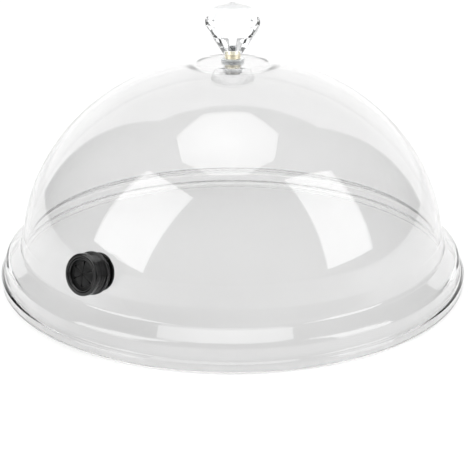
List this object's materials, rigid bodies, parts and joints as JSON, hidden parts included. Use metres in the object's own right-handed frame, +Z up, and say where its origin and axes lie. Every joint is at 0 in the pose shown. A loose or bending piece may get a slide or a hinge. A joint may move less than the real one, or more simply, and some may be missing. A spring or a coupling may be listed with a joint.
{
  "type": "smoking cloche dome",
  "caption": "Clear domed food cover with a flared stepped skirt, a faceted crystal knob on the crown and a black self-closing hose valve low in the wall.",
  "frame": {"origin": "centre of the rim's flat foot, on the surface that the cloche stands on", "axes": "+Z up through the knob, -Y to the front, +X to the right seen from the front, the valve at the front left"},
  "size_m": [0.26, 0.26, 0.148],
  "materials": {
    "clear_plastic": "clear, polished, moulded",
    "crystal": "clear, flat polished facets",
    "clear_silicone": "translucent, satin",
    "brass": "bright turned brass",
    "steel": "bright, finely turned",
    "black_plastic": "semi-gloss black",
    "black_rubber": "satin black silicone"
  },
  "bodies": {
    "cloche": {"dome_cover": "clear_plastic", "crystal_knob": "crystal", "knob_insert": "brass", "knob_seat_washer": "clear_silicone", "knob_seal_washer": "clear_silicone", "knob_steel_washer": "steel", "knob_screw": "steel", "valve_housing": "black_plastic", "valve_lock_nut": "black_plastic", "valve_retainer": "black_plastic", "valve_gasket": "black_rubber", "valve_diaphragm_ring": "black_rubber"},
    "petal_1": {"valve_petal_1": "black_rubber"},
    "petal_2": {"valve_petal_2": "black_rubber"},
    "petal_3": {"valve_petal_3": "black_rubber"},
    "petal_4": {"valve_petal_4": "black_rubber"},
    "petal_5": {"valve_petal_5": "black_rubber"},
    "petal_6": {"valve_petal_6": "black_rubber"}
  },
  "joints": [
    {"name": "petal_1_fold", "type": "hinge", "parent": "cloche", "child": "petal_1", "pos_m": [-0.06395, -0.10501, 0.03575], "axis": [-0.1303, -0.1931, -0.9725], "range_deg": [0, 85], "stiffness_Nm_per_rad": 0.0003},
    {"name": "petal_2_fold", "type": "hinge", "parent": "cloche", "child": "petal_2", "pos_m": [-0.06567, -0.10246, 0.04055], "axis": [0.6528, -0.5808, -0.4862], "range_deg": [0, 85], "stiffness_Nm_per_rad": 0.0003},
    {"name": "petal_3_fold", "type": "hinge", "parent": "cloche", "child": "petal_3", "pos_m": [-0.0704, -0.09928, 0.04055], "axis": [0.7831, -0.3877, 0.4862], "range_deg": [0, 85], "stiffness_Nm_per_rad": 0.0003},
    {"name": "petal_4_fold", "type": "hinge", "parent": "cloche", "child": "petal_4", "pos_m": [-0.0734, -0.09863, 0.03575], "axis": [0.1303, 0.1931, 0.9725], "range_deg": [0, 85], "stiffness_Nm_per_rad": 0.0003},
    {"name": "petal_5_fold", "type": "hinge", "parent": "cloche", "child": "petal_5", "pos_m": [-0.07169, -0.10118, 0.03095], "axis": [-0.6528, 0.5808, 0.4862], "range_deg": [0, 85], "stiffness_Nm_per_rad": 0.0003},
    {"name": "petal_6_fold", "type": "hinge", "parent": "cloche", "child": "petal_6", "pos_m": [-0.06696, -0.10437, 0.03095], "axis": [-0.7831, 0.3877, -0.4862], "range_deg": [0, 85], "stiffness_Nm_per_rad": 0.0003}
  ],
  "couplings": [
    {"joint": "petal_2_fold", "follows": "petal_1_fold", "ratio": 1},
    {"joint": "petal_3_fold", "follows": "petal_1_fold", "ratio": 1},
    {"joint": "petal_4_fold", "follows": "petal_1_fold", "ratio": 1},
    {"joint": "petal_5_fold", "follows": "petal_1_fold", "ratio": 1},
    {"joint": "petal_6_fold", "follows": "petal_1_fold", "ratio": 1}
  ]
}
